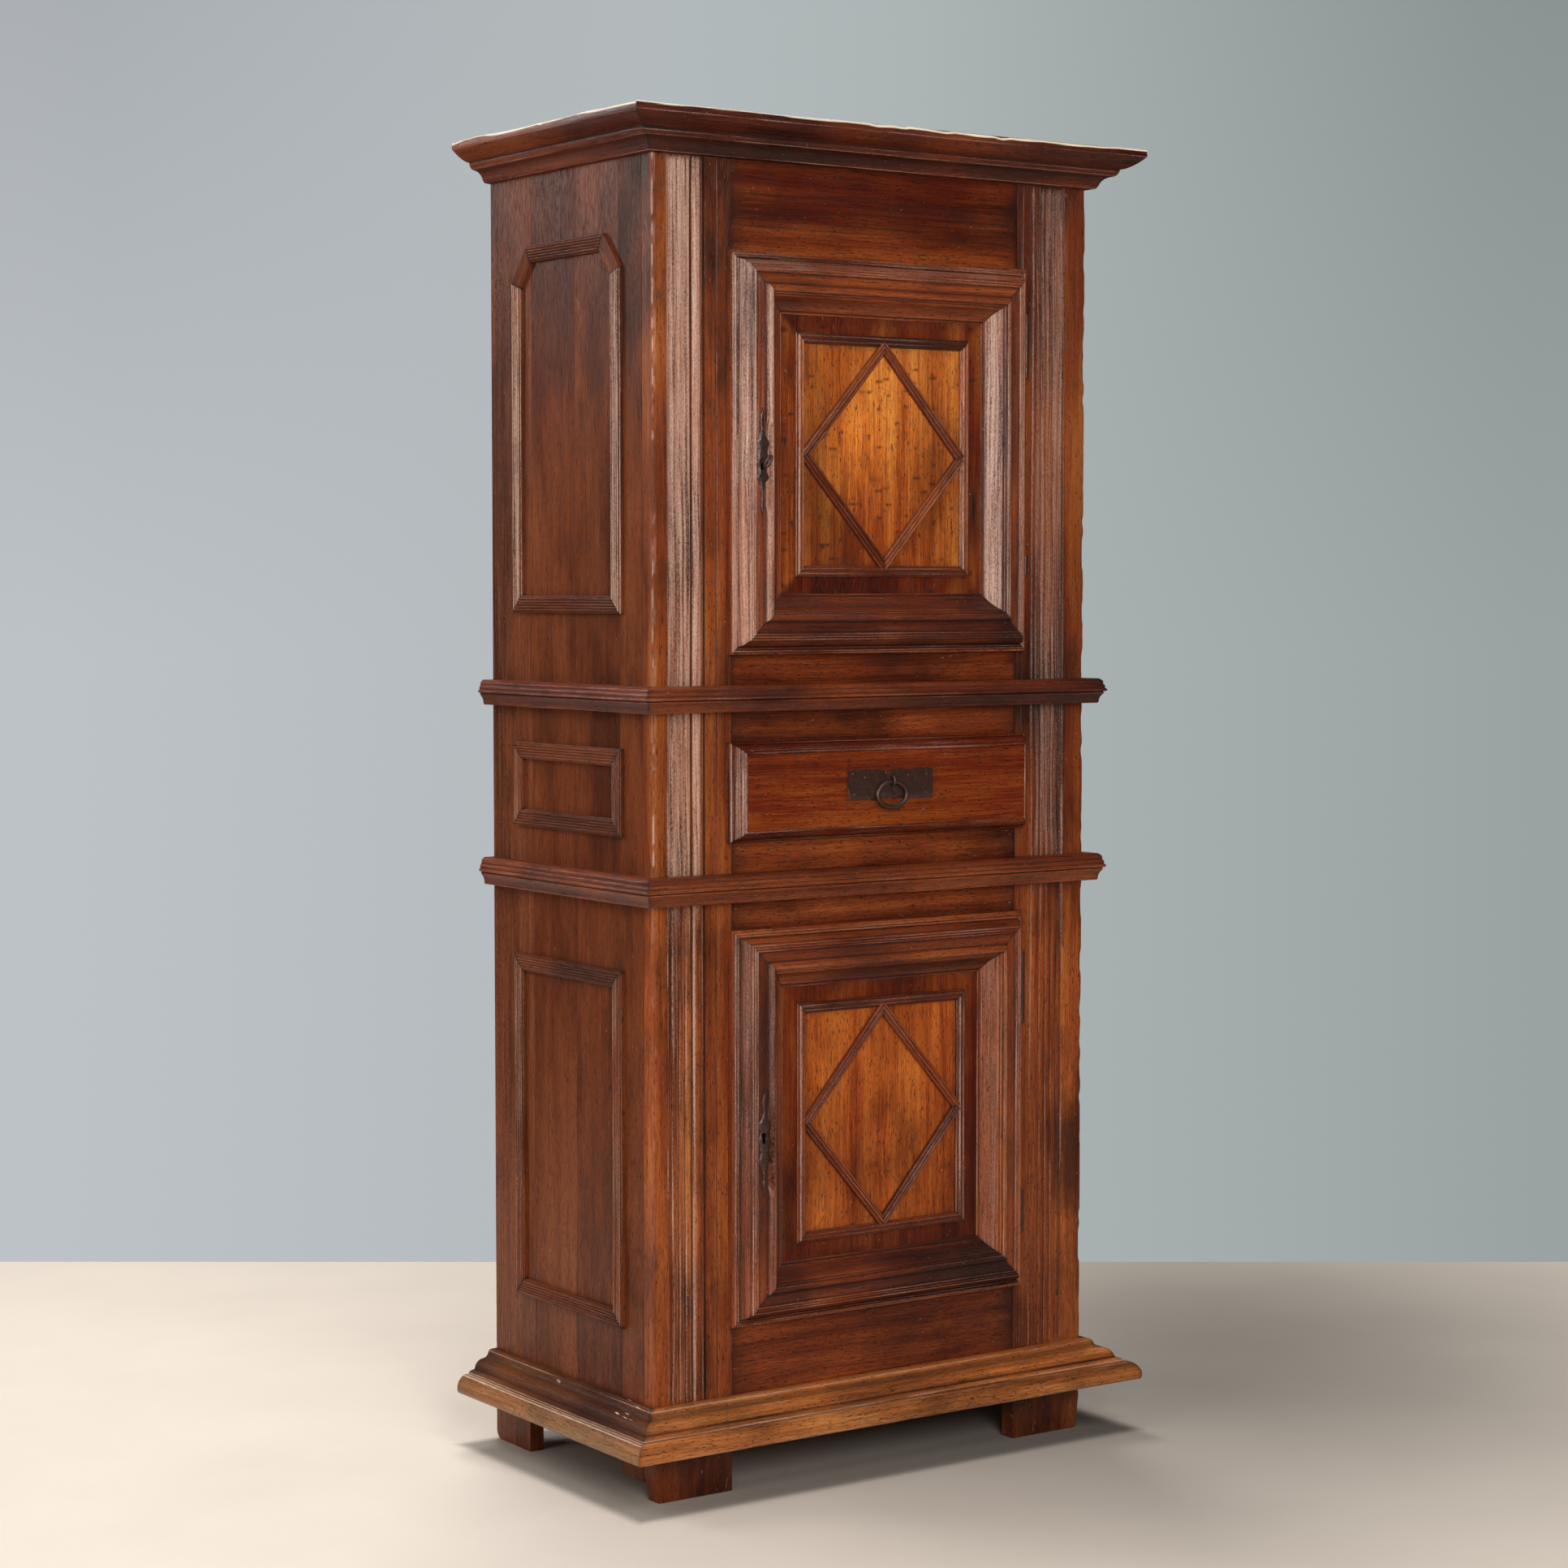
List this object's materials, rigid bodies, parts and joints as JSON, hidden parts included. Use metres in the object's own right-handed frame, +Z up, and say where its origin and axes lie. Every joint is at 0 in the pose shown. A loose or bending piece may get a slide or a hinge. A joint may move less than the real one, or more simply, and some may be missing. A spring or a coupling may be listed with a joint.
{
  "type": "two-door cupboard with drawer",
  "caption": "Tall free-standing wooden cupboard: one moulded door above a waist drawer, one below, deep cornice and plinth, iron ring pull and key.",
  "frame": {"origin": "on the floor, in the middle of the overall width and depth", "axes": "+X to the right seen from the front, +Y to the back, +Z up; the doors and drawer face -Y"},
  "size_m": [0.934, 0.531, 2],
  "materials": {
    "carcass_wood": "waxed, dark reddish brown, worn",
    "moulding_wood": "waxed, dark reddish brown with pale worn edges",
    "panel_wood": "waxed, orange brown",
    "rim_wood": "waxed, golden brown, worn",
    "inside_wood": "bare, dry",
    "iron": "dark, hand forged"
  },
  "bodies": {
    "carcass": {"front_stile_left": "carcass_wood", "front_stile_right": "carcass_wood", "top_rail": "carcass_wood", "upper_waist_rail": "carcass_wood", "lower_waist_rail": "carcass_wood", "bottom_rail": "carcass_wood", "side_front_board_left": "carcass_wood", "side_front_board_right": "carcass_wood", "side_planks_left": "carcass_wood", "side_planks_right": "carcass_wood", "rear_post_left": "carcass_wood", "rear_post_right": "carcass_wood", "back_boards": "inside_wood", "roof_boards": "inside_wood", "lower_floor": "inside_wood", "lower_shelf": "inside_wood", "drawer_deck": "inside_wood", "upper_floor": "inside_wood", "upper_shelf": "inside_wood", "shelf_bearers": "inside_wood", "drawer_guides": "inside_wood", "cornice": "moulding_wood", "upper_waist_moulding": "moulding_wood", "lower_waist_moulding": "moulding_wood", "base_moulding": "moulding_wood", "plinth_rim": "rim_wood", "side_moulding_left": "moulding_wood", "side_moulding_right": "moulding_wood", "frame_hinges": "iron"},
    "drawer": {"drawer_front": "panel_wood", "drawer_side_left": "inside_wood", "drawer_side_right": "inside_wood", "drawer_back": "inside_wood", "drawer_bottom": "inside_wood", "pull_plate": "iron", "pull_staple": "iron"},
    "ring": {"pull_ring": "iron"},
    "key": {"upper_key": "iron"},
    "upper_bolt": {"upper_lock_bolt": "iron"},
    "lower_bolt": {"lower_lock_bolt": "iron"},
    "upper_door": {"upper_door_lock_stile": "carcass_wood", "upper_door_hinge_stile": "carcass_wood", "upper_door_top_rail": "carcass_wood", "upper_door_bottom_rail": "carcass_wood", "upper_door_panel": "panel_wood", "upper_door_moulding": "moulding_wood", "upper_panel_trim": "moulding_wood", "upper_escutcheon": "iron", "upper_lock_case": "iron", "upper_hinge_leaves": "iron"},
    "lower_door": {"lower_door_lock_stile": "carcass_wood", "lower_door_hinge_stile": "carcass_wood", "lower_door_top_rail": "carcass_wood", "lower_door_bottom_rail": "carcass_wood", "lower_door_panel": "panel_wood", "lower_door_moulding": "moulding_wood", "lower_panel_trim": "moulding_wood", "lower_escutcheon": "iron", "lower_lock_case": "iron", "lower_hinge_leaves": "iron"}
  },
  "joints": [
    {"name": "upper_door_swing", "type": "hinge", "parent": "carcass", "child": "upper_door", "pos_m": [0.276, -0.2005, 0], "axis": [0, 0, 1], "range_deg": [0, 110]},
    {"name": "lower_door_swing", "type": "hinge", "parent": "carcass", "child": "lower_door", "pos_m": [0.273, -0.2005, 0], "axis": [0, 0, 1], "range_deg": [0, 110]},
    {"name": "drawer_slide", "type": "slide", "parent": "carcass", "child": "drawer", "axis": [0, -1, 0], "range_m": [0, 0.3]},
    {"name": "ring_swing", "type": "hinge", "parent": "drawer", "child": "ring", "pos_m": [0, -0.2331, 1.03685], "axis": [-1, 0, 0], "range_deg": [0, 95]},
    {"name": "key_turn", "type": "hinge", "parent": "upper_door", "child": "key", "pos_m": [-0.23247, -0.2, 1.506], "axis": [0, 1, 0], "range_deg": [0, 120]},
    {"name": "upper_bolt_throw", "type": "slide", "parent": "upper_door", "child": "upper_bolt", "axis": [-1, 0, 0], "range_m": [0, 0.01]},
    {"name": "lower_bolt_throw", "type": "slide", "parent": "lower_door", "child": "lower_bolt", "axis": [-1, 0, 0], "range_m": [0, 0.01]}
  ],
  "couplings": [
    {"joint": "key_turn", "follows": "upper_bolt_throw", "rad_per_m": 209.4}
  ]
}
